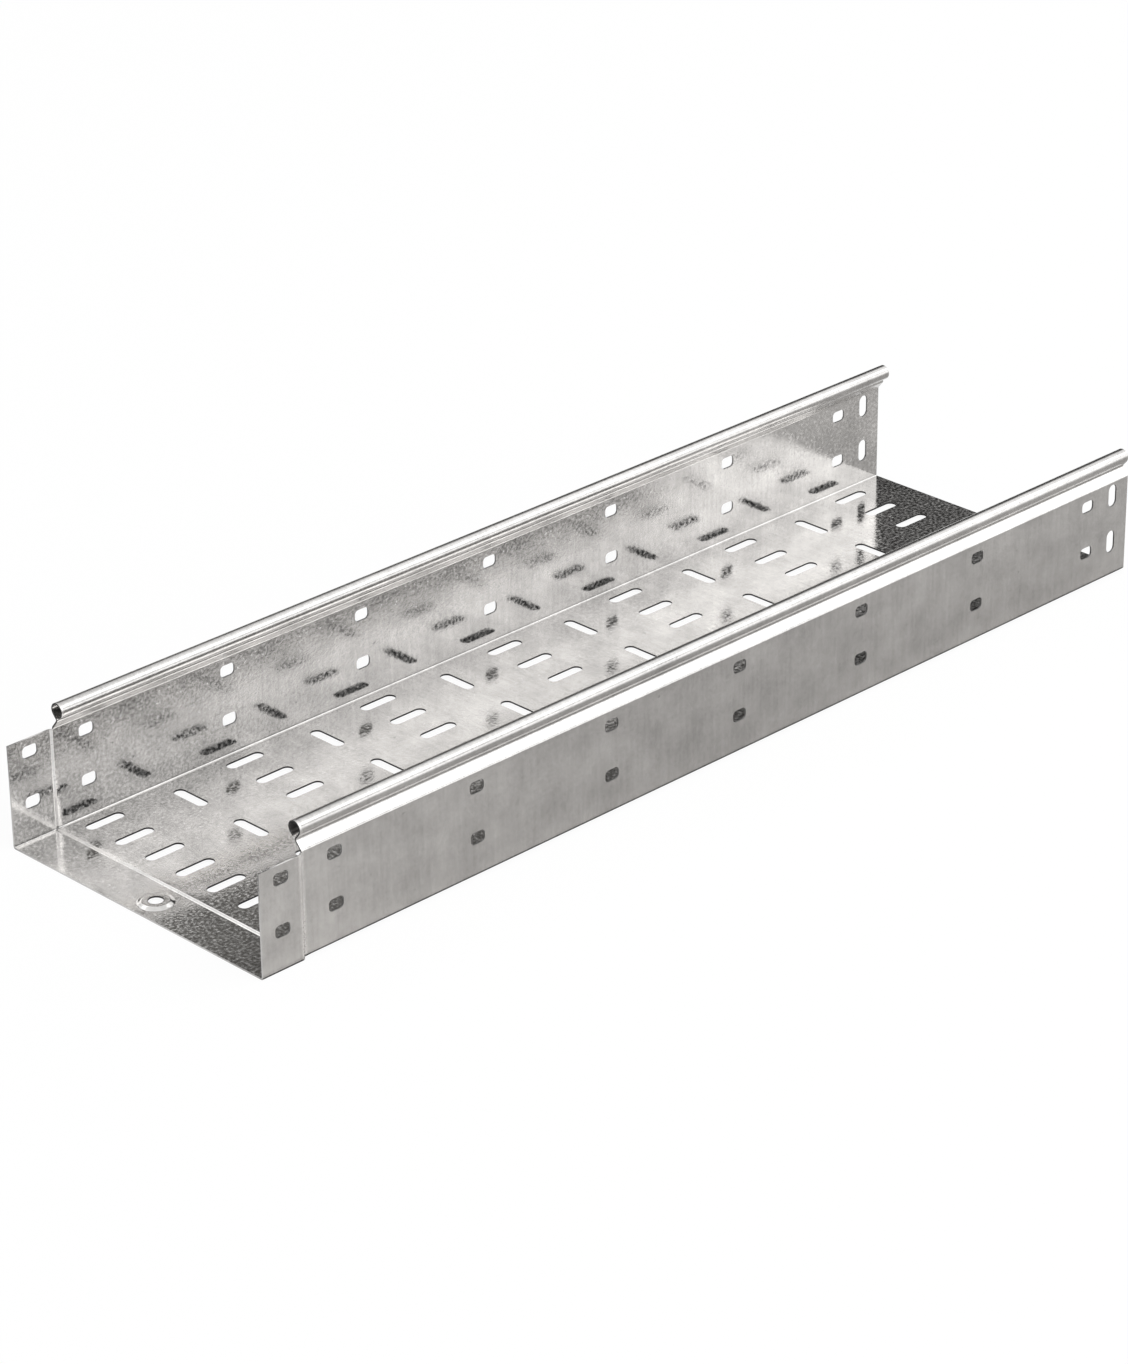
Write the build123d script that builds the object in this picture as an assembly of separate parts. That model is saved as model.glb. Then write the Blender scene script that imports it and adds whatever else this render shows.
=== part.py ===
from build123d import *
import math
import os

# Perforated cable tray, one length of roll-formed galvanised sheet.
# Millimetres. X runs along the tray with the coupling end at -X, Y runs across it, Z is up.
# The origin is under the middle of the tray, on the underside of the coupling end.

# The sheet and the section of the main length, over its outer faces
sheet = 1.0
width = 200.0
height = 77.0
corner_radius = 1.5

# The rolled rim: the wall leans in to a neck, leans out again and closes in a tube
rim_height = 15.7
shoulder_radius = 2.5
neck_rise = 5.2
neck_depth = 4.2
neck_radius = 1.2
roll_diameter = 9.0
roll_inset = 0.5
roll_end_angle = 255.0

# Lengths along X
row_pitch = 100.0
row_count = 7
coupling_length = 30.0
first_row_inset = 22.0
last_row_inset = 37.0
ramp_length = 1.5

# The coupling end is one sheet wider all round, so the far end of the next length drops into it
joint_clearance = 0.2
coupling_edge_drop = 1.0

# Base slots, and the least distance from a slot to the outside of a wall
slot_width = 7.0
slot_length = 25.0
slot_spacing = 25.0
cross_spacing = 50.0
slot_edge = 8.0

# Wall holes, with the least distance to the top edge of the coupling end,
# and the upright slots near the far end
wall_hole_length = 10.0
wall_hole_height = 22.5
wall_hole_spacing = 30.0
wall_hole_edge = 4.0
end_slot_length = 14.0
end_slot_inset = 14.0

# Raised boss with a round hole, on the centreline of the coupling end
boss_diameter = 20.0
boss_flat_diameter = 15.5
boss_hole_diameter = 8.5

# Heights worked out from the sizes above. The underside of the main length is at z = drop.
drop = sheet + joint_clearance
shoulder_height = height - rim_height
neck_height = shoulder_height + neck_rise
coupling_height = shoulder_height - coupling_edge_drop
# The top of the boss is level with the base of the main length.
boss_rise = drop

# Places along X
main_length = first_row_inset + (row_count - 1) * row_pitch + last_row_inset
total_length = coupling_length + main_length
near_x = -total_length / 2
far_x = total_length / 2
main_x = near_x + coupling_length
rows_x = [main_x + first_row_inset + i * row_pitch for i in range(row_count)]
gaps_x = [x + row_pitch / 2 for x in rows_x[:-1]]
end_slot_x = far_x - end_slot_inset
# The far end of the next length stands against the ramp, and its slots meet these holes.
coupling_hole_x = main_x - ramp_length - end_slot_inset
boss_x = near_x + (coupling_length - ramp_length) / 2

# How many slots and holes there is room for, across the base and up the wall
slots_across = 1 + int((width - 2 * slot_edge - slot_width) // slot_spacing)
cross_slots_across = 1 + int((width - 2 * slot_edge - slot_length) // cross_spacing)
hole_room = coupling_height - wall_hole_edge - slot_width / 2 - wall_hole_height
hole_levels = [
    drop + wall_hole_height + i * wall_hole_spacing
    for i in range(1 + int(hole_room // wall_hole_spacing))
]
cut_reach = 4 * sheet + boss_rise


def spread(count, spacing):
    """Places of a row of like things about the middle."""
    return [(i - (count - 1) / 2) * spacing for i in range(count)]


def full_section(half_path):
    """The sheet's face in the YZ plane: its outer line, made sheet thick inwards, and its mirror image."""
    both_sides = [
        make_face(offset(half_path, sheet, side=side, closed=True).edges())
        for side in (Side.LEFT, Side.RIGHT)
    ]
    half = min(both_sides, key=lambda face: face.bounding_box().max.X)
    return half + mirror(half, Plane.YZ)


def wall_path(grow, top):
    """Outer line of base and one wall, moved outwards by grow, up to the height top."""
    half_width = width / 2 + grow
    return FilletPolyline(
        (0, drop - grow),
        (half_width, drop - grow),
        (half_width, top),
        radius=corner_radius,
    )


def rim_path():
    """Outer line of base, wall and rolled rim."""
    roll_radius = roll_diameter / 2
    neck = Vector(width / 2 - neck_depth, drop + neck_height)
    centre = Vector(width / 2 - roll_inset - roll_radius, drop + height - roll_radius)
    to_centre = centre - neck
    tangent_angle = math.atan2(to_centre.Y, to_centre.X) - math.asin(roll_radius / to_centre.length)
    tangent_length = math.sqrt(to_centre.length**2 - roll_radius**2)
    start_angle = math.degrees(tangent_angle) - 90
    tangent_point = neck + Vector(math.cos(tangent_angle), math.sin(tangent_angle)) * tangent_length
    bends = FilletPolyline(
        (0, drop),
        (width / 2, drop),
        (width / 2, drop + shoulder_height),
        neck,
        tangent_point,
        radius=[corner_radius, shoulder_radius, neck_radius],
    )
    roll = CenterArc(centre, roll_radius, start_angle, roll_end_angle - start_angle)
    return Wire(bends.edges() + roll.edges())


def at_x(x, section):
    """A section drawn in XY, stood up across the tray at x."""
    return Plane(origin=(x, 0, 0), x_dir=(0, 1, 0), z_dir=(1, 0, 0)) * section


def slot_outline(size_x, size_y):
    """A round-ended slot, lying the way of its longer side."""
    if size_x >= size_y:
        return SlotOverall(size_x, size_y)
    return SlotOverall(size_y, size_x, rotation=90)


def wall_cutter(length_x, length_z):
    """A slot through both walls."""
    return extrude(Plane.XZ * slot_outline(length_x, length_z), width, both=True)


def base_cutter(length_x, length_y):
    """A slot through the base."""
    return extrude(slot_outline(length_x, length_y), cut_reach, both=True)


def pressed_boss(z):
    """The frustum that the round boss adds above, or leaves hollow below."""
    return Pos(boss_x, 0, z + boss_rise / 2) * Cone(
        boss_diameter / 2, boss_flat_diameter / 2, boss_rise
    )


def make_tray():
    main_section = full_section(rim_path())
    coupling_section = full_section(wall_path(drop, drop + coupling_height))
    step_section = full_section(wall_path(0, drop + coupling_height))

    main = extrude(at_x(main_x, main_section), main_length)
    coupling = extrude(at_x(near_x, coupling_section), coupling_length - ramp_length)
    ramp = loft([at_x(main_x - ramp_length, coupling_section), at_x(main_x, step_section)], ruled=True)
    tray = main + ramp + coupling

    tray += pressed_boss(sheet)
    tray -= pressed_boss(0)
    tray -= Pos(boss_x, 0, 0) * Cylinder(boss_hole_diameter / 2, 2 * cut_reach)

    along = base_cutter(slot_length, slot_width)
    across = base_cutter(slot_width, slot_length)
    cuts = [Pos(x, y, drop) * along for x in rows_x for y in spread(slots_across, slot_spacing)]
    cuts += [Pos(x, y, drop) * across for x in gaps_x for y in spread(cross_slots_across, cross_spacing)]
    wall_hole = wall_cutter(wall_hole_length, slot_width)
    end_slot = wall_cutter(slot_width, end_slot_length)
    cuts += [Pos(x, 0, z) * wall_hole for x in [coupling_hole_x] + rows_x for z in hole_levels]
    cuts += [Pos(end_slot_x, 0, z) * end_slot for z in hole_levels]
    return tray - cuts


tray = make_tray()
os.makedirs("parts", exist_ok=True)
export_step(tray, "parts/cable_tray.step")
box = tray.bounding_box()
print("size", round(box.size.X, 2), round(box.size.Y, 2), round(box.size.Z, 2))
print("lowest and highest corners", box.min, box.max)
print("volume", round(tray.volume), "mm3, solids", len(tray.solids()))
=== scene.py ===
# %% [markdown]
# # A perforated cable tray
#
# The real thing is one strip of pre-galvanised steel. It is punched while it is flat, and then rollers fold
# it up: a base, two walls and a rolled rim on each wall. This lesson makes it in the same order. The strip
# is drawn flat with its slots, it is cut into faces, and then each point is carried to its place on the
# folded section.
#
# The first cell loads the measured model, which is the frame that all else is built in.

# %% Load the frame
import math

import bmesh
import bpy
from mathutils import Matrix, Vector
from mathutils.geometry import delaunay_2d_cdt


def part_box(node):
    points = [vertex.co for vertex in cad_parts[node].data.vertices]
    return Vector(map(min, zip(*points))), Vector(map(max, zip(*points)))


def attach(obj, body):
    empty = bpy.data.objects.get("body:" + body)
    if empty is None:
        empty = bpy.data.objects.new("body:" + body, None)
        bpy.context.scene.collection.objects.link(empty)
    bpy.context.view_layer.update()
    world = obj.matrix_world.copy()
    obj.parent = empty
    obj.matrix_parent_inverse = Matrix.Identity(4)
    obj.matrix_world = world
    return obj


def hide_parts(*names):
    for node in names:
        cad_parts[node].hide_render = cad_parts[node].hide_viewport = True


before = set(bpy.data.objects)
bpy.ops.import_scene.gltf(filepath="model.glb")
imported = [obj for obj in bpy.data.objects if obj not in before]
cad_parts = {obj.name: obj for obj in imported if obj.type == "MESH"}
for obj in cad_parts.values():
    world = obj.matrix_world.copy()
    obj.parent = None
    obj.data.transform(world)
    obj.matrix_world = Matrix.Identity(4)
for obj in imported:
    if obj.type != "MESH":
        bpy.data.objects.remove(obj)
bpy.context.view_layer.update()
TRAY = "cable_tray"
tray_low, tray_high = (Vector(corner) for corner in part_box(TRAY))
print("measured model", [round(side * 1000, 1) for side in tray_high - tray_low], "mm")

# %% [markdown]
# The sizes are those of the measured model, in millimetres, written down as a maker's drawing gives them. The
# ends of the tray come from the frame, so the strip is as long as the model. The drawing stays in
# millimetres, and one factor turns them into Blender's metres wherever something leaves the drawing.

# %% Sizes of the strip
MM = 0.001
SHEET = 1.0
WIDTH = 200.0
HEIGHT = 77.0
CORNER_RADIUS = 1.5

RIM_HEIGHT = 15.7
SHOULDER_RADIUS = 2.5
NECK_RISE = 5.2
NECK_DEPTH = 4.2
NECK_RADIUS = 1.2
ROLL_RADIUS = 4.5
ROLL_INSET = 0.5
ROLL_END = math.radians(255)

COUPLING_LENGTH = 30.0
COUPLING_EDGE_DROP = 1.0
RAMP_LENGTH = 1.5
DROP = SHEET + 0.2

ROW_PITCH = 100.0
ROW_COUNT = 7
FIRST_ROW_INSET = 22.0
SLOT_WIDTH = 7.0
SLOT_LENGTH = 25.0
SLOT_SPACING = 25.0
SLOTS_ACROSS = 8
CROSS_SPACING = 50.0
CROSS_SLOTS_ACROSS = 4
WALL_HOLE_LENGTH = 10.0
WALL_HOLE_LEVELS = (22.5, 52.5)
END_SLOT_LENGTH = 14.0
END_SLOT_INSET = 14.0

BOSS_RADIUS = 10.0
BOSS_FLAT_RADIUS = 7.75
BOSS_HOLE_RADIUS = 4.25

near_x = tray_low.x / MM
far_x = tray_high.x / MM
main_x = near_x + COUPLING_LENGTH
rows_x = [main_x + FIRST_ROW_INSET + i * ROW_PITCH for i in range(ROW_COUNT)]
gaps_x = [x + ROW_PITCH / 2 for x in rows_x[:-1]]
end_slot_x = far_x - END_SLOT_INSET
coupling_hole_x = main_x - RAMP_LENGTH - END_SLOT_INSET
boss_x = near_x + (COUPLING_LENGTH - RAMP_LENGTH) / 2
print("rows of slots at", [round(x, 1) for x in rows_x])

# %% [markdown]
# The camera stands where the photographer's did: to the left of the near end, well above the tray and some
# way off, with a long lens. Its angles and its place were worked out from the places of the holes in the
# photograph. Blender wants a rotation, which is built here from three directions: right, up and back.

# %% Camera
PHOTO_HEIGHT = 1364
FOCAL_PIXELS = 4489.9
SENSOR_WIDTH = 36.0
SEES_AS_FAR_AS = 60.0
CAMERA_PLACE = Vector((-1.6140, -1.6198, 1.1372))
CAMERA_TURN = math.radians(-44.357)
CAMERA_TILT = math.radians(26.187)
CAMERA_ROLL = math.radians(-0.662)

ahead = Vector(
    (
        -math.sin(CAMERA_TURN) * math.cos(CAMERA_TILT),
        math.cos(CAMERA_TURN) * math.cos(CAMERA_TILT),
        -math.sin(CAMERA_TILT),
    )
)
level_right = Vector((math.cos(CAMERA_TURN), math.sin(CAMERA_TURN), 0))
level_up = level_right.cross(ahead)
right = level_right * math.cos(CAMERA_ROLL) + level_up * math.sin(CAMERA_ROLL)
up = level_up * math.cos(CAMERA_ROLL) - level_right * math.sin(CAMERA_ROLL)

camera_data = bpy.data.cameras.new("photo_camera")
camera_data.sensor_width = SENSOR_WIDTH
camera_data.lens = SENSOR_WIDTH * FOCAL_PIXELS / PHOTO_HEIGHT
camera_data.clip_end = SEES_AS_FAR_AS
camera = bpy.data.objects.new("photo_camera", camera_data)
camera.matrix_world = Matrix.Translation(CAMERA_PLACE) @ Matrix((right, up, -ahead)).transposed().to_4x4()
bpy.context.scene.collection.objects.link(camera)
bpy.context.scene.camera = camera
print("camera lens", round(camera_data.lens, 1), "mm")

# %% [markdown]
# The folded section is a walk with straight runs and bends, from the middle of the base outwards: along the
# base, up the wall, in at the shoulder, out at the neck and round the roll. The walk follows the outer face
# of the sheet. A drawing gives the corners between the runs, and a bend takes the same length off the run
# before it and the run after it, so those lengths are worked out first.

# %% Runs and bends of the section


def trimmed(radius, turn):
    """How much of a run a bend takes up on each side of its corner."""
    return radius * math.tan(abs(turn) / 2)


shoulder_height = HEIGHT - RIM_HEIGHT
lean_run = math.hypot(NECK_DEPTH, NECK_RISE)
lean_heading = math.atan2(NECK_RISE, -NECK_DEPTH)
neck_to_roll = Vector((NECK_DEPTH - ROLL_INSET - ROLL_RADIUS, RIM_HEIGHT - ROLL_RADIUS - NECK_RISE))
roll_heading = math.atan2(neck_to_roll.y, neck_to_roll.x) - math.asin(ROLL_RADIUS / neck_to_roll.length)
neck_run = math.sqrt(neck_to_roll.length**2 - ROLL_RADIUS**2)

corner_turn = math.pi / 2
shoulder_turn = lean_heading - math.pi / 2
neck_turn = roll_heading - lean_heading
roll_turn = ROLL_END - (roll_heading - math.pi / 2)

corner_trim = trimmed(CORNER_RADIUS, corner_turn)
shoulder_trim = trimmed(SHOULDER_RADIUS, shoulder_turn)
neck_trim = trimmed(NECK_RADIUS, neck_turn)

# Each step is a length, a turn and the number of strips that a bend is cut into.
WALK = [
    (WIDTH / 2 - corner_trim, 0, 1),
    (CORNER_RADIUS * corner_turn, corner_turn, 10),
    (shoulder_height - corner_trim - shoulder_trim, 0, 1),
    (SHOULDER_RADIUS * shoulder_turn, shoulder_turn, 6),
    (lean_run - shoulder_trim - neck_trim, 0, 1),
    (NECK_RADIUS * abs(neck_turn), neck_turn, 8),
    (neck_run - neck_trim, 0, 1),
    (ROLL_RADIUS * roll_turn, roll_turn, 48),
]
strip_edge = sum(length for length, _, _ in WALK)
wall_start = WALK[0][0] + WALK[1][0]
coupling_edge = wall_start + shoulder_height - COUPLING_EDGE_DROP - corner_trim
print("flat strip", round(2 * strip_edge, 1), "mm wide")

# %% [markdown]
# With the section written as a walk, any distance along the strip has one place and one direction. That is
# all it takes to carry a flat point to the folded shape. Extruding the section would give the folds too, but
# then the openings would need over a hundred boolean cuts, and the joggle and the boss a way of their own.

# %% Walk along the section


def on_section(distance, outwards):
    """The place on the outer face and the direction into the tray, at a distance along the walk.

    Where the section stands outwards, the base and the wall are both longer, and the sheet at the corner
    takes up the difference."""
    base, corner, wall = WALK[0], WALK[1], WALK[2]
    wider = (base[0] + outwards, 0, 1), corner, (wall[0] + outwards, 0, 1)
    past_base = min(max((distance - base[0]) / corner[0], 0.0), 1.0)
    left = distance + 2 * outwards * past_base
    y, z, heading = 0.0, DROP - outwards, 0.0
    for length, turn, _ in [*wider, *WALK[3:]]:
        step = min(left, length)
        if turn:
            radius = length / turn
            bend = step / radius
            y += radius * (math.sin(heading + bend) - math.sin(heading))
            z += radius * (math.cos(heading) - math.cos(heading + bend))
            heading += bend
        else:
            y += step * math.cos(heading)
            z += step * math.sin(heading)
        left -= step
        if left <= 0:
            break
    return y, z, -math.sin(heading), math.cos(heading)


print("foot of the wall", [round(v, 2) for v in on_section(wall_start, 0)[:2]], "mm")

# %% [markdown]
# The coupling end is wider by one sheet all round, so that the next length drops into it. The joggle between
# the two is one smooth step in how far the section stands outwards. The boss round the earthing hole is a
# second, small step, pressed up out of the base. Where the rollers fold base and wall, the inner side keeps a
# little more metal than a sharp corner would, and that fillet catches the light as a thin line.

# %% Carry a flat point to the folded tray
JOGGLE_BLEND = 0.5
BOSS_BLEND = 0.45
CORNER_MIDDLE = WALK[0][0] + WALK[1][0] / 2
CORNER_FILL = 0.12
CORNER_REACH = 1.8

joggle_start = main_x - RAMP_LENGTH - JOGGLE_BLEND
boss_start = BOSS_FLAT_RADIUS - BOSS_BLEND
boss_end = BOSS_RADIUS + BOSS_BLEND


def smooth_step(value, start, end):
    """From 0 at start to 1 at end, without a corner."""
    t = min(max((value - start) / (end - start), 0.0), 1.0)
    return t * t * (3 - 2 * t)


def place(x, along, depth):
    """A point of the strip in metres. Depth goes from 0 on the outer face to 1 on the inner face."""
    outwards = DROP * (1 - smooth_step(x, joggle_start, main_x))
    y, z, into_y, into_z = on_section(abs(along), outwards)
    side = -1 if along < 0 else 1
    from_corner = min(abs(abs(along) - CORNER_MIDDLE) / CORNER_REACH, 1)
    offset = depth * (SHEET + CORNER_FILL * (1 - from_corner**2) ** 2)
    rise = DROP * (1 - smooth_step(math.hypot(x - boss_x, along), boss_start, boss_end))
    return Vector((x, side * (y + into_y * offset), z + into_z * offset + rise)) * MM


roll_top = strip_edge - ROLL_RADIUS * (ROLL_END - math.pi / 2)
print("top of the roll", [round(v / MM, 1) for v in place(0, roll_top, 0)], "mm")

# %% [markdown]
# Now the flat strip, and first the outlines of its openings. A slot is a loop with round ends, a wall hole
# has rounded corners, and the earthing hole is a ring. Each loop is drawn a little too large, because the
# cut edge gets a small rounding later, as a punched and zinc-coated edge has.

# %% Outlines of slots and holes
EDGE_ROUNDING = 0.12
ARC_STEPS = 6
ROUND_STEPS = 40
SAME_POINT = 1e-3


def slot_loop(x, along, size_x, size_along, corner=None):
    """A loop with round corners, grown by the rounding of the edge. A slot has fully round ends."""
    corner = corner or min(size_x, size_along) / 2
    grown = corner + EDGE_ROUNDING
    points = []
    for quarter in range(4):
        side_x = 1 if quarter in (0, 3) else -1
        side_along = 1 if quarter in (0, 1) else -1
        centre_x = x + side_x * (size_x / 2 - corner)
        centre_along = along + side_along * (size_along / 2 - corner)
        for step in range(ARC_STEPS + 1):
            angle = math.pi / 2 * (quarter + step / ARC_STEPS)
            point = (centre_x + grown * math.cos(angle), centre_along + grown * math.sin(angle))
            if not points or math.dist(point, points[-1]) > SAME_POINT:
                points.append(point)
    if math.dist(points[0], points[-1]) < SAME_POINT:
        points.pop()
    return points


def ring(x, along, radius):
    """A round loop."""
    turns = [math.tau * i / ROUND_STEPS for i in range(ROUND_STEPS)]
    return [(x + radius * math.cos(turn), along + radius * math.sin(turn)) for turn in turns]


print("points of a base slot", len(slot_loop(0, 0, SLOT_LENGTH, SLOT_WIDTH)))

# %% [markdown]
# The openings stand on a plain grid: a row of slots along the tray every 100 mm, slots across it half way
# between the rows, and a pair of holes in each wall at every row. The wall holes are on the strip too, so
# their height up the wall becomes a distance from the middle of the strip.

# %% Draw the slots and holes on the strip
WALL_HOLE_CORNER = 2.4


def spread(count, spacing):
    """Places of a row of like things about the middle."""
    return [(i - (count - 1) / 2) * spacing for i in range(count)]


levels = [wall_start + level - CORNER_RADIUS for level in WALL_HOLE_LEVELS]
wall_places = levels + [-level for level in levels]

holes = [
    slot_loop(x, y, SLOT_LENGTH, SLOT_WIDTH)
    for x in rows_x
    for y in spread(SLOTS_ACROSS, SLOT_SPACING)
]
holes += [
    slot_loop(x, y, SLOT_WIDTH, SLOT_LENGTH)
    for x in gaps_x
    for y in spread(CROSS_SLOTS_ACROSS, CROSS_SPACING)
]
holes += [
    slot_loop(x, level, WALL_HOLE_LENGTH, SLOT_WIDTH, WALL_HOLE_CORNER)
    for x in [coupling_hole_x] + rows_x
    for level in wall_places
]
holes += [slot_loop(end_slot_x, level, SLOT_WIDTH, END_SLOT_LENGTH) for level in wall_places]
holes.append(ring(boss_x, 0, BOSS_HOLE_RADIUS + EDGE_ROUNDING))
print("holes in the strip", len(holes))

# %% [markdown]
# Between the holes the strip needs edges wherever it will be bent: long lines for the bends of the section,
# more of them where the fillet of a fold runs out, short lines across for the joggle, and rings for the boss.
# A few more lines across keep the long faces of the rim in moderate pieces. They all run clear of the holes.

# %% Draw the lines of the bends
JOGGLE_CUTS = 8
BOSS_RINGS = 9
CLEAR_OF_ROW = 18.0
CLEAR_OF_END = 1.0
FILLET_LINES = (1.3, 1.45, 1.6, CORNER_REACH)

bend_lines = []
walked = 0.0
for length, turn, cuts in WALK:
    if turn:
        bend_lines += [walked + length * i / cuts for i in range(cuts + 1)]
    walked += length
bend_lines += [CORNER_MIDDLE + side * reach for side in (-1, 1) for reach in FILLET_LINES]
bend_lines = [line for line in bend_lines if line < strip_edge - EDGE_ROUNDING]

joggle_lines = [
    joggle_start + (main_x - EDGE_ROUNDING - joggle_start) * i / JOGGLE_CUTS for i in range(JOGGLE_CUTS)
]
body_lines = [x + side * CLEAR_OF_ROW for x in rows_x for side in (-1, 1)]
body_lines = [x for x in body_lines if main_x + CLEAR_OF_END < x < far_x - CLEAR_OF_END]

boss_step = (boss_end - boss_start) / (BOSS_RINGS - 1)
boss_rings = [ring(boss_x, 0, boss_start + boss_step * i) for i in range(BOSS_RINGS)]
print("lines along", 2 * len(bend_lines), "and across", len(joggle_lines) + len(body_lines))

# %% [markdown]
# All the loops and lines go into one drawing, as points and as pairs of points. Each point of a hole's loop
# is noted with its hole, because it has to be told from the sheet round it afterwards.

# %% Put the drawing together
end_inset = near_x + EDGE_ROUNDING, far_x - EDGE_ROUNDING
rim_start = main_x + EDGE_ROUNDING
low_edge = coupling_edge - EDGE_ROUNDING
high_edge = strip_edge - EDGE_ROUNDING
outline = [
    (end_inset[0], -low_edge),
    (rim_start, -low_edge),
    (rim_start, -high_edge),
    (end_inset[1], -high_edge),
    (end_inset[1], high_edge),
    (rim_start, high_edge),
    (rim_start, low_edge),
    (end_inset[0], low_edge),
]

points = []
segments = []
hole_of_point = {}


def draw_loop(loop, hole=None):
    """Adds a closed line to the drawing, and notes which hole its points belong to."""
    first = len(points)
    points.extend(loop)
    for i in range(len(loop)):
        segments.append((first + i, first + (i + 1) % len(loop)))
        if hole is not None:
            hole_of_point[first + i] = hole


def draw_line(start, end):
    """Adds an open line to the drawing."""
    segments.append((len(points), len(points) + 1))
    points.extend([start, end])


draw_loop(outline)
for number, hole in enumerate(holes):
    draw_loop(hole, number)
for loop in boss_rings:
    draw_loop(loop)
for line in bend_lines:
    start_x = end_inset[0] if line < low_edge else rim_start
    for side in (-1, 1):
        draw_line((start_x, side * line), (end_inset[1], side * line))
for x in joggle_lines:
    draw_line((x, -low_edge), (x, low_edge))
for x in body_lines:
    draw_line((x, -high_edge), (x, high_edge))
print("drawing:", len(points), "points,", len(segments), "segments")

# %% [markdown]
# Blender can cut such a drawing into triangles: a constrained Delaunay triangulation keeps every drawn line
# as an edge. It fills the slots too, so the triangles with all three corners on one hole's loop come out.

# %% Cut the strip into faces
CUT_TOLERANCE = 1e-4
INSIDE_DRAWN_LINES = 1
flat_points, _, flat_faces, came_from, _, _ = delaunay_2d_cdt(
    [Vector(point) for point in points], segments, [], INSIDE_DRAWN_LINES, CUT_TOLERANCE
)
hole_at = []
for sources in came_from:
    numbers = [hole_of_point[source] for source in sources if source in hole_of_point]
    hole_at.append(numbers[0] if numbers else None)


def fills_a_hole(face):
    """True for a triangle whose corners all lie on the loop of one hole."""
    numbers = {hole_at[corner] for corner in face}
    return len(numbers) == 1 and None not in numbers


flat_faces = [face for face in flat_faces if not fills_a_hole(face)]
print("flat strip:", len(flat_points), "points,", len(flat_faces), "faces")

# %% [markdown]
# The sheet has a cut edge wherever the flat drawing ends. It is swept with a small profile: rounded,
# straight, rounded. To find where the drawing ends, each face gives its three sides with a direction, and a
# side that no other face uses the other way round is on an edge.

# %% Find the cut edges and their profile
ROUND_CUTS = 3


def edge_profile():
    """Steps over the cut edge from the inner face to the outer one: how far out, and how deep."""
    corner = [
        (math.sin(math.pi / 2 * i / ROUND_CUTS), 1 - math.cos(math.pi / 2 * i / ROUND_CUTS))
        for i in range(ROUND_CUTS + 1)
    ]
    inner = [(EDGE_ROUNDING * out, 1 - EDGE_ROUNDING * down / SHEET) for out, down in corner]
    outer = [(out, 1 - depth) for out, depth in reversed(inner)]
    return inner + outer


def outward(before, point, after):
    """The direction out of the material at a point of the edge, as long as a mitre needs."""
    first = (point - before).normalized()
    second = (after - point).normalized()
    normals = Vector((first.y, -first.x)), Vector((second.y, -second.x))
    return (normals[0] + normals[1]) / (1 + normals[0].dot(normals[1]))


sides = {(face[i], face[(i + 1) % 3]) for face in flat_faces for i in range(3)}
next_on_edge = {a: b for a, b in sides if (b, a) not in sides}
before_on_edge = {b: a for a, b in next_on_edge.items()}
profile = edge_profile()
print("points on cut edges", len(next_on_edge), "with", len(profile), "steps over each")

# %% [markdown]
# The sheet is two copies of the flat faces, an outer one and an inner one, and the cut edges that join them.
# Every point is carried to the folded tray as it is added, and it keeps its flat place as a texture
# coordinate. That is how the finish can lie on the strip and still follow the folds.
#
# Each corner of the mesh also carries two marks for the finish. The sheet gets its zinc before it is punched,
# so the cuts show bare steel. One mark says how dark a cut is painted, which is bare steel and also painted
# shade: the cuts round the holes and at the ends of the rims are painted nearly black, those at the ends of
# the tray much less. The other one says which face a corner is on, because the inner face is the more spotted
# one.

# %% Build the sheet
# Painted shade on the cuts: how dark each kind of cut is painted, besides showing bare steel.
BARE_AND_SHADED_IN_BASE = 1.0
BARE_AND_SHADED_IN_WALLS = 0.85
BARE_AND_SHADED_AT_RIM = 1.0
BARE_AND_SHADED_AT_ENDS = 0.3
FLAT_ENOUGH = math.radians(5)
SQUARE_ENOUGH = math.radians(20)

tray_mesh = bmesh.new()
strip_layer = tray_mesh.loops.layers.uv.new("strip")
bare_steel = tray_mesh.verts.layers.float.new("bare_steel")
inside = tray_mesh.verts.layers.float.new("inside")
flat_place = {}


def add_point(flat, depth, bare_and_shaded=0.0):
    """A corner of the sheet, with its marks and its place on the flat strip."""
    corner = tray_mesh.verts.new(place(flat.x, flat.y, depth))
    corner[bare_steel] = bare_and_shaded
    corner[inside] = depth
    flat_place[corner] = flat * MM
    return corner


def how_bare_and_shaded(i):
    """How dark the cut is painted at one point of the drawing: bare steel, with painted shade in the holes
    and at the rim ends.
    """
    flat = flat_points[i]
    if hole_at[i] is not None:
        return BARE_AND_SHADED_IN_BASE if abs(flat.y) < CORNER_MIDDLE else BARE_AND_SHADED_IN_WALLS
    if abs(flat.x - rim_start) < SAME_POINT and abs(flat.y) > low_edge + SAME_POINT:
        return BARE_AND_SHADED_AT_RIM
    if flat.x < end_inset[0] + SAME_POINT or flat.x > end_inset[1] - SAME_POINT:
        return BARE_AND_SHADED_AT_ENDS
    return 0.0


used = sorted({corner for face in flat_faces for corner in face})
inner_face = {i: add_point(flat_points[i], 1) for i in used}
outer_face = {i: add_point(flat_points[i], 0) for i in used}
for face in flat_faces:
    tray_mesh.faces.new([inner_face[i] for i in face])
    tray_mesh.faces.new([outer_face[i] for i in reversed(face)])

edge_corners = {}
for i, following in next_on_edge.items():
    direction = outward(flat_points[before_on_edge[i]], flat_points[i], flat_points[following])
    over_the_cut = [
        add_point(flat_points[i] + direction * out, depth, how_bare_and_shaded(i)) for out, depth in profile[1:-1]
    ]
    edge_corners[i] = [inner_face[i]] + over_the_cut + [outer_face[i]]
for i, following in next_on_edge.items():
    here, there = edge_corners[i], edge_corners[following]
    for j in range(len(profile) - 1):
        tray_mesh.faces.new((here[j], here[j + 1], there[j + 1], there[j]))

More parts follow.
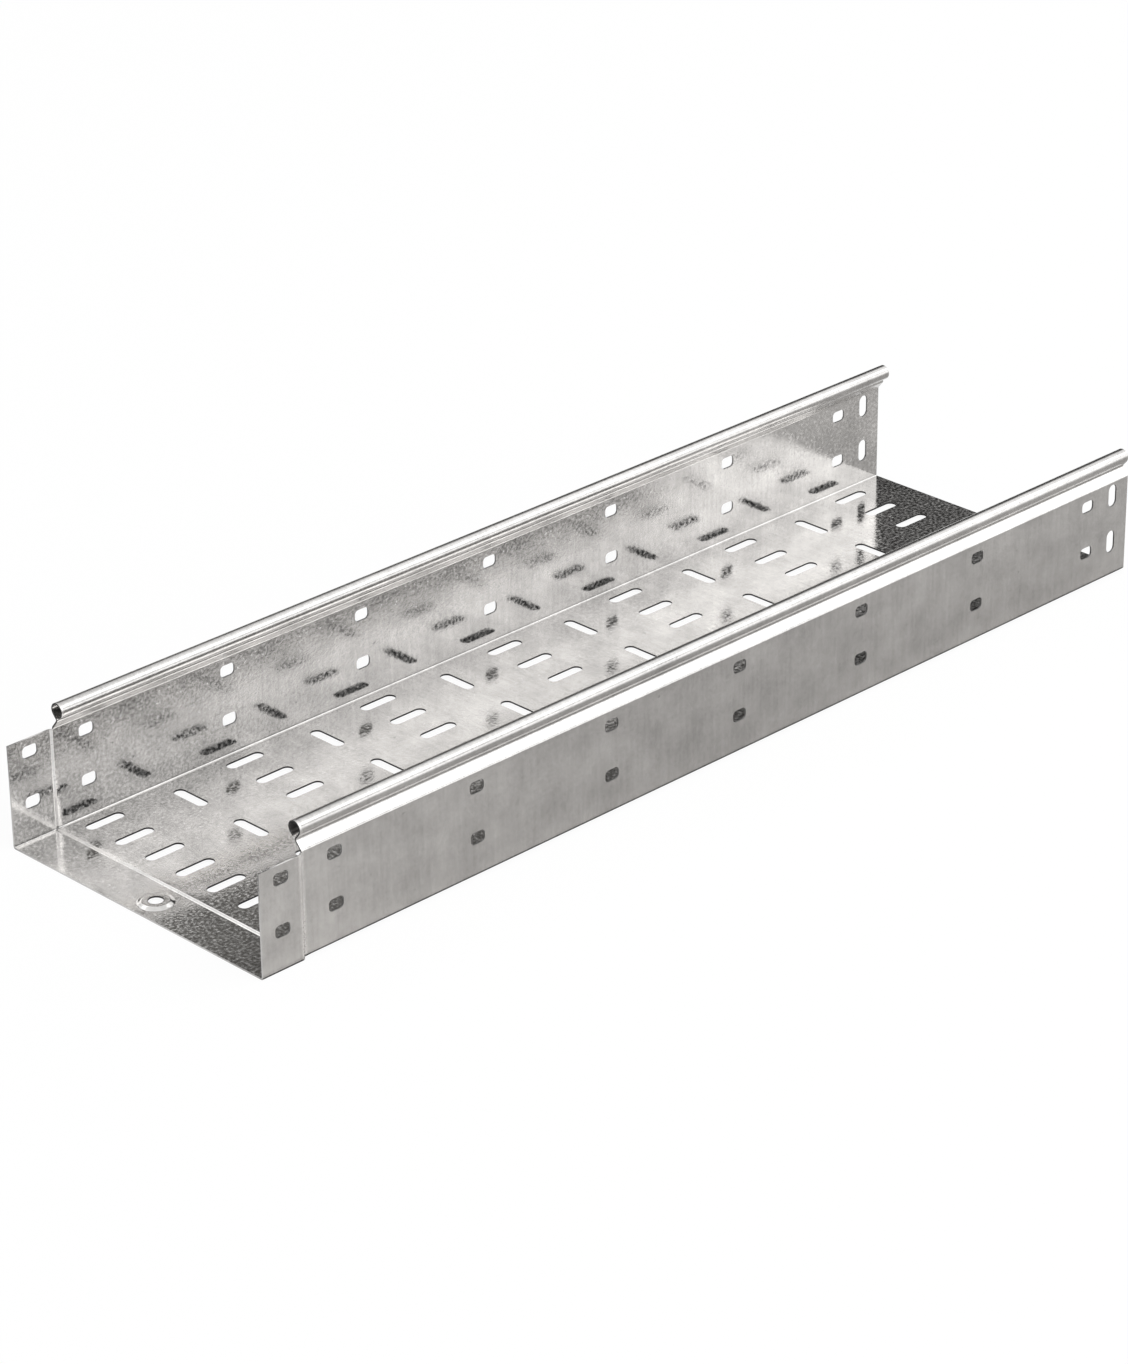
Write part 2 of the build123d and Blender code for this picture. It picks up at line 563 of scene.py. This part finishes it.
for face in tray_mesh.faces:
    face.smooth = True
    for loop in face.loops:
        loop[strip_layer].uv = flat_place[loop.vert]
bmesh.ops.join_triangles(
    tray_mesh,
    faces=[face for face in tray_mesh.faces if len(face.verts) == 3],
    angle_face_threshold=FLAT_ENOUGH,
    angle_shape_threshold=SQUARE_ENOUGH,
)
open_edges = [edge for edge in tray_mesh.edges if len(edge.link_faces) != 2]
print("folded tray:", len(tray_mesh.verts), "corners,", len(tray_mesh.faces), "faces")
print("open edges", len(open_edges))

# %% [markdown]
# The faces are shaded smooth, so that the bends look round. Flat sheet beside a tiny rounding would then
# look dented, because a corner's shading is the mean of its faces. The Weighted Normal modifier cures that:
# the large flat faces count for more than the small round ones.

# %% Make the tray an object
FLAT_FACE_WEIGHT = 100

mesh = bpy.data.meshes.new("punched_tray")
tray_mesh.to_mesh(mesh)
tray_mesh.free()
tray = bpy.data.objects.new("punched_tray", mesh)
bpy.context.scene.collection.objects.link(tray)
weighted = tray.modifiers.new("even_shading", "WEIGHTED_NORMAL")
weighted.weight = FLAT_FACE_WEIGHT
weighted.keep_sharp = True
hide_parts(TRAY)
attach(tray, "root")
print("tray size", [round(side / MM, 2) for side in tray.dimensions], "mm")

# %% [markdown]
# Shader maths reads best as plain sums. This small class wraps a socket, so that an expression such as
# 1 - mask * 0.5 adds the Math nodes by itself. All other nodes come from one method, which sets what kind
# of node it is and how it is set first, and then its sockets.

# %% A small language for materials


class Wire:
    """A node's output, which can be added, multiplied and so on."""

    def __init__(self, graph, socket):
        self.graph = graph
        self.socket = socket

    def maths(self, operation, first, second):
        """A Math node on two numbers or wires."""
        return self.graph.node("ShaderNodeMath", {"operation": operation}, {0: first, 1: second})

    def __add__(self, other):
        return self.maths("ADD", self, other)

    def __sub__(self, other):
        return self.maths("SUBTRACT", self, other)

    def __rsub__(self, other):
        return self.maths("SUBTRACT", other, self)

    def __mul__(self, other):
        return self.maths("MULTIPLY", self, other)

    def __abs__(self):
        return self.maths("ABSOLUTE", self, 0)

    __radd__ = __add__
    __rmul__ = __mul__


class Graph:
    """The nodes of one material or of the world."""

    def __init__(self, owner):
        owner.use_nodes = True
        self.tree = owner.node_tree
        self.tree.nodes.clear()

    def node(self, kind, settings=None, sockets=None, output=0):
        """Adds a node, sets it, fills or links its sockets and gives back one output."""
        made = self.tree.nodes.new(kind)
        for name, value in (settings or {}).items():
            if name == "stops":
                set_stops(made.color_ramp, value)
            else:
                setattr(made, name, value)
        for name, value in (sockets or {}).items():
            socket = made.inputs[name]
            if isinstance(value, Wire):
                self.tree.links.new(value.socket, socket)
            else:
                socket.default_value = value
        return Wire(self, made.outputs[output]) if made.outputs else made


def set_stops(color_ramp, stops):
    """Gives a colour ramp its stops, as pairs of a place and a grey level."""
    while len(color_ramp.elements) < len(stops):
        color_ramp.elements.new(1)
    for element, (position, level) in zip(color_ramp.elements, stops):
        element.position = position
        element.color = (level, level, level, 1)


print("a wire can", [name.strip("_") for name, made in vars(Wire).items() if callable(made)])

# %% [markdown]
# All the noise of the finish lies on the flat strip, so it bends with the sheet and looks the same on the
# base and up the walls. One helper makes it, at any size and stretched any way. Another cuts a range out of
# a value, which turns noise into specks and a distance into a band.

# %% Noise on the strip


def noise(strip, scale, detail=2.0, stretch=(1, 1, 1)):
    """Cloudy noise on the strip. The scale is in features to the metre."""
    where = strip.graph.node("ShaderNodeVectorMath", {"operation": "MULTIPLY"}, {0: strip, 1: stretch})
    return strip.graph.node(
        "ShaderNodeTexNoise", {}, {"Vector": where, "Scale": scale, "Detail": detail}, "Fac"
    )


def graded(wire, stops):
    """A level for each value of the wire, from pairs of a value and a level."""
    return wire.graph.node("ShaderNodeValToRGB", {"stops": stops}, {"Fac": wire}, "Color")


def between(wire, low, high):
    """0 below the first level of the wire, 1 above the second one."""
    return graded(wire, [(low, 0), (high, 1)])


def part_of(vector, axis):
    """One axis of a vector."""
    return vector.graph.node("ShaderNodeSeparateXYZ", {}, {"Vector": vector}, axis)


def scaled(graph, colour, strength):
    """A colour times a value."""
    return graph.node(
        "ShaderNodeVectorMath", {"operation": "SCALE"}, {"Vector": colour, "Scale": strength}, "Vector"
    )


print("helpers", [helper.__name__ for helper in (noise, graded, between, part_of, scaled)])

# %% [markdown]
# Galvanised sheet is steel under a skin of zinc. It is a metal, fairly smooth, so it mirrors what stands
# near it and blurs what is further away. Small unevenness keeps it from looking like chrome, and each kind is
# one noise at its own size: clouds and stains, mottle, a grain of dull zinc, streaks up the walls, mill lines
# along the strip, and some specks and scratches. The grain makes the same spots duller and rougher, which
# shows best where the metal mirrors something dark.
#
# The rest follows the shape. Shade is painted across the strip: darker towards the fold at the foot of the
# wall, darkest in it, a little darker on the walls and darker still on the rim. The rollers blur the upper
# wall and the rim, the joggle is rubbed rough on the outside, and the cuts are bare steel under painted
# shade. A flat colour with one roughness would be quicker, but then the base and the walls would look like
# clean mirrors.

# %% Galvanised sheet
ZINC = (0.727, 0.715, 0.702)
SCRATCH_TURN = math.radians(32)
RUBBED_REACH = 0.01

# Painted shade across the strip: how bright the zinc is painted, from the middle of the strip at 0 to a place
# 0.2 m out at 1. The fold at the foot of the wall is near 0.5, and the rim starts near 0.8. The base is
# painted darker towards that fold and darkest in it, the walls a little darker than the base, and the rim
# darker still.
ACROSS_REACH = 0.2
PAINTED_SHADE_ACROSS = [
    (0.28, 1),
    (0.48, 0.72),
    (0.496, 0.58),
    (0.51, 0.93),
    (0.56, 0.87),
    (0.83, 0.88),
    (0.86, 0.81),
    (1, 0.81),
]


def galvanised():
    """Zinc on steel. Heights of the relief are in metres."""
    material = bpy.data.materials.new("bright_zinc")
    graph = Graph(material)
    strip = graph.node("ShaderNodeUVMap", {"uv_map": "strip"})
    bare_and_shaded = graph.node("ShaderNodeAttribute", {"attribute_name": "bare_steel"}, {}, "Fac")
    inner_face = graph.node("ShaderNodeAttribute", {"attribute_name": "inside"}, {}, "Fac")

    clouds = noise(strip, 12, 3)
    stains = noise(strip, 48, 5)
    mottle = noise(strip, 260, 3)
    grain = noise(strip, 520, 4)
    streaks = noise(strip, 420, 2, stretch=(1, 0.07, 1))
    mill_lines = noise(strip, 900, 1, stretch=(0.02, 1, 1))
    specks = between(noise(strip, 150, 2), 0.72, 0.78)
    turned = graph.node("ShaderNodeVectorRotate", {}, {"Vector": strip, "Angle": SCRATCH_TURN}, "Vector")
    scratches = between(noise(turned, 1400, 1, stretch=(1, 0.012, 1)), 0.72, 0.76)

    from_middle = abs(part_of(strip, "Y")) * (1 / ACROSS_REACH)
    upper_wall = between(from_middle, 0.6, 0.77)
    rolled = between(from_middle, 0.785, 0.815)
    from_joggle = abs(part_of(strip, "X") - (joggle_start + main_x) / 2 * MM) * (1 / RUBBED_REACH)
    rubbed = (1 - between(from_joggle, 0.12, 0.3)) * (1 - inner_face)

    tone = 0.31 + 0.3 * clouds + 0.5 * stains + 0.2 * mottle + 0.24 * grain + 0.26 * streaks
    # Painted shade: the ramp across the strip darkens the base towards the fold, the fold itself, the walls
    # and the rim, and below the rolled rim is painted a little darker again, which dims its highlight.
    tone = tone * graded(from_middle, PAINTED_SHADE_ACROSS) * (1 - 0.3 * specks) * (1 + 0.12 * scratches)
    # Painted shade: the cut edges are painted nearly black in the holes and at the rim ends, far darker than
    # bare steel would be.
    tone = tone * (1 - 0.9 * bare_and_shaded) * (1 + 0.3 * rubbed) * (1 - 0.07 * rolled)
    dull = between(grain, 0.42, 0.7) * (0.22 + 0.78 * inner_face) * (1 - 0.85 * rolled)
    roughness = 0.03 + 0.04 * clouds + 0.04 * stains + 0.15 * dull
    roughness = roughness + 0.3 * bare_and_shaded + 0.2 * rubbed + 0.06 * upper_wall + 0.1 * rolled
    relief = 0.00001 * mottle + 0.00003 * grain + 0.000006 * mill_lines
    normal = graph.node("ShaderNodeBump", {}, {"Strength": 1.0, "Distance": 1.0, "Height": relief})
    shader = graph.node(
        "ShaderNodeBsdfPrincipled",
        {},
        {
            "Base Color": scaled(graph, ZINC, tone),
            "Metallic": 0.97 - 0.28 * dull,
            "Roughness": roughness,
            "Normal": normal,
        },
    )
    graph.node("ShaderNodeOutputMaterial", {}, {"Surface": shader})
    return material


sheet_finish = galvanised()
tray.data.materials.append(sheet_finish)
print("finish", sheet_finish.name, "with", len(sheet_finish.node_tree.nodes), "nodes")

# %% [markdown]
# A metal object is lit by what it mirrors. The stage is a wide pale floor. Its material is part plain paint,
# which takes the tray's shadow, and part light of its own for whoever looks at it: the camera, and rays that
# come off metal or through glass.

# %% Floor
FLOOR_SIZE = 120.0
FLOOR_GLOW = 0.93


def pale_floor():
    """Paint that takes shadows, with a glow for whoever looks at it."""
    material = bpy.data.materials.new("pale_floor")
    graph = Graph(material)
    paint = graph.node("ShaderNodeBsdfDiffuse", {}, {"Color": (0.9, 0.9, 0.9, 1)})
    glow = graph.node("ShaderNodeEmission", {}, {"Color": (1, 1, 1, 1), "Strength": 1.0})
    seen = graph.node("ShaderNodeLightPath", output="Is Camera Ray")
    path = seen.socket.node
    mirrored = Wire(graph, path.outputs["Is Glossy Ray"])
    through = Wire(graph, path.outputs["Is Transmission Ray"])
    share = FLOOR_GLOW * (seen + mirrored + through)
    surface = graph.node("ShaderNodeMixShader", {}, {0: share, 1: paint, 2: glow})
    graph.node("ShaderNodeOutputMaterial", {}, {"Surface": surface})
    return material


def flat_card(name, corners, material):
    """A four-cornered card of the stage."""
    data = bpy.data.meshes.new(name)
    data.from_pydata(corners, [], [(0, 1, 2, 3)])
    data.materials.append(material)
    card = bpy.data.objects.new(name, data)
    bpy.context.scene.collection.objects.link(card)
    return card


half = FLOOR_SIZE / 2
floor_corners = [(-half, -half, 0), (half, -half, 0), (half, half, 0), (-half, half, 0)]
flat_card("floor", floor_corners, pale_floor())
print("floor", FLOOR_SIZE, "m")

# %% [markdown]
# Photographers lay grey and black card round shiny metal, just outside the picture, because a metal sheet
# with only white around it looks like paper. Here a grey card lies in front of the tray and past its far end,
# and a dark one stands behind it. A black one lies under the tray, and that one is a painted shadow: it
# stands for the shaded floor beneath the tray, which the back wall mirrors through the base slots and the
# front wall mirrors at its foot. The grey card is palest at the coupling end, and the dark one is darkest
# towards the far end, so the paint of a card can change along its length. The cards show in the metal only:
# they take no light away and cast no shadow.

# %% Paint and shapes of the cards


def card_paint(name, colour, stops):
    """Matt paint. The stops say how strong its colour is along the card's X."""
    material = bpy.data.materials.new(name)
    graph = Graph(material)
    on_card = graph.node("ShaderNodeTexCoord", output="Generated")
    strength = graded(part_of(on_card, "X"), stops)
    paint = graph.node("ShaderNodeBsdfDiffuse", {}, {"Color": scaled(graph, colour, strength)})
    graph.node("ShaderNodeOutputMaterial", {}, {"Surface": paint})
    return material


def lying(x_range, y_range, z):
    """The corners of a card that lies on the floor."""
    (left, right), (front, back) = x_range, y_range
    return [(left, front, z), (right, front, z), (right, back, z), (left, back, z)]


def standing(direction, distance, width, height):
    """The corners of an upright card that faces the tray."""
    middle = Vector((math.cos(direction), math.sin(direction), 0)) * distance
    sideways = Vector((-math.sin(direction), math.cos(direction), 0)) * (width / 2)
    rise = Vector((0, 0, height))
    return [middle - sideways, middle + sideways, middle + sideways + rise, middle - sideways + rise]


print("a card 1 m wide and high, 2 m to the right:", [corner[:] for corner in standing(0, 2, 1, 1)])

# %% [markdown]
# The lower edge of the front wall is dark in the photograph, as metal is just above its own contact shadow,
# so the black card reaches a little way out from under the wall. The lying cards are a fraction of a
# millimetre above the floor and above each other, so that no two of them share a plane.

# %% Cards that show in the metal
GREY = (0.54, 0.53, 0.519)
BLACK = (0.03, 0.03, 0.03)
DARK = (0.11, 0.106, 0.1)
EVEN = [(0, 1), (1, 1)]
PALEST_AT_COUPLING = [(0.03, 1), (0.08, 0.87), (0.2, 0.72), (0.38, 0.78), (1, 0.78)]
DARKEST_AT_FAR_END = [(0.44, 1), (0.64, 0.15)]

GREY_LIFT = 0.0003
GREY_FAR_END = 1.4
GREY_FRONT = -0.45
BLACK_LIFT = 0.0006
BLACK_PAST_WALL = 0.0022
BLACK_PAST_END = 0.001
STANDING_DISTANCE = 4.0
STANDING_WIDTH = 5.2
STANDING_HEIGHT = 2.8
STANDING_DIRECTION = math.radians(50)

half_width = WIDTH / 2 * MM
grey_x = near_x * MM, GREY_FAR_END
black_x = near_x * MM, far_x * MM + BLACK_PAST_END
cards = [
    flat_card(
        "card_in_front",
        lying(grey_x, (GREY_FRONT, half_width), GREY_LIFT),
        card_paint("grey_card", GREY, PALEST_AT_COUPLING),
    ),
    # Painted shadow: the black card stands for the shaded floor under the tray, as the metal mirrors it.
    flat_card(
        "shadow_under_tray",
        lying(black_x, (-half_width - BLACK_PAST_WALL, half_width), BLACK_LIFT),
        card_paint("painted_shadow_card", BLACK, EVEN),
    ),
    flat_card(
        "card_behind",
        standing(STANDING_DIRECTION, STANDING_DISTANCE, STANDING_WIDTH, STANDING_HEIGHT),
        card_paint("dark_card", DARK, DARKEST_AT_FAR_END),
    ),
]
for card in cards:
    card.visible_camera = False
    card.visible_diffuse = False
    card.visible_shadow = False
    card.visible_transmission = False
print("cards", [card.name for card in cards])

# %% [markdown]
# The light is that of a plain studio. A metal face shows whatever stands where it mirrors to, so a soft light
# is placed by its direction and its size as seen from the tray. Blender's area lamp wants metres and watts,
# and one helper works those out.

# %% A soft light
LAMP_DISTANCE = 6.5


def soft_light(name, direction, rise, width, height, level):
    """A soft light that looks at the tray.

    Direction, rise, width and height are angles in degrees, as seen from the tray. The level is how bright
    the light looks, whatever its size."""
    data = bpy.data.lights.new(name, "AREA")
    data.shape = "RECTANGLE"
    data.size, data.size_y = (
        2 * LAMP_DISTANCE * math.tan(math.radians(angle) / 2) for angle in (width, height)
    )
    data.energy = level * math.pi * data.size * data.size_y
    lamp = bpy.data.objects.new(name, data)
    flat = math.cos(math.radians(rise))
    turn = math.radians(direction)
    away = Vector((flat * math.cos(turn), flat * math.sin(turn), math.sin(math.radians(rise))))
    lamp.location = away * LAMP_DISTANCE
    lamp.rotation_euler = away.to_track_quat("Z", "Y").to_euler()
    lamp.visible_camera = False
    bpy.context.scene.collection.objects.link(lamp)


print("lamps stand", LAMP_DISTANCE, "m from the tray")

# %% [markdown]
# The room is even and pale, and eight soft lights stand in it. The base and the back wall mirror the wide
# one on the right. A far one makes them brighter towards the far end, and a weak one beside it lets them fade
# towards the coupling end. The others stand overhead, low, high, in front and behind, and they show as bands
# and lines on the walls, the rims, the folds and the joggle. The levels are kept down, so that pale metal
# keeps its tone, and the view transform is the plain one, which shows a colour as it is written.

# %% Lamps and room
ROOM_LEVEL = 0.36

room = bpy.data.worlds.new("studio")
bpy.context.scene.world = room
room_graph = Graph(room)
room_light = room_graph.node("ShaderNodeBackground", {}, {"Color": (1, 1, 1, 1), "Strength": ROOM_LEVEL})
room_graph.node("ShaderNodeOutputWorld", {}, {"Surface": room_light})
soft_light("light_overhead", 0, 90, 90, 90, 0.55)
soft_light("light_right", -16, 37, 60, 44, 0.75)
soft_light("light_side", -55, 37, 18, 44, 0.3)
soft_light("light_far", -33, 29, 16, 20, 0.55)
soft_light("light_low", -46, 9, 76, 16, 1.4)
soft_light("light_high", -80, 49, 100, 23, 1.3)
soft_light("light_back", 104, 46, 60, 24, 0.6)
soft_light("light_front", -92, 26, 56, 22, 1.8)

bpy.context.scene.view_settings.view_transform = "Standard"
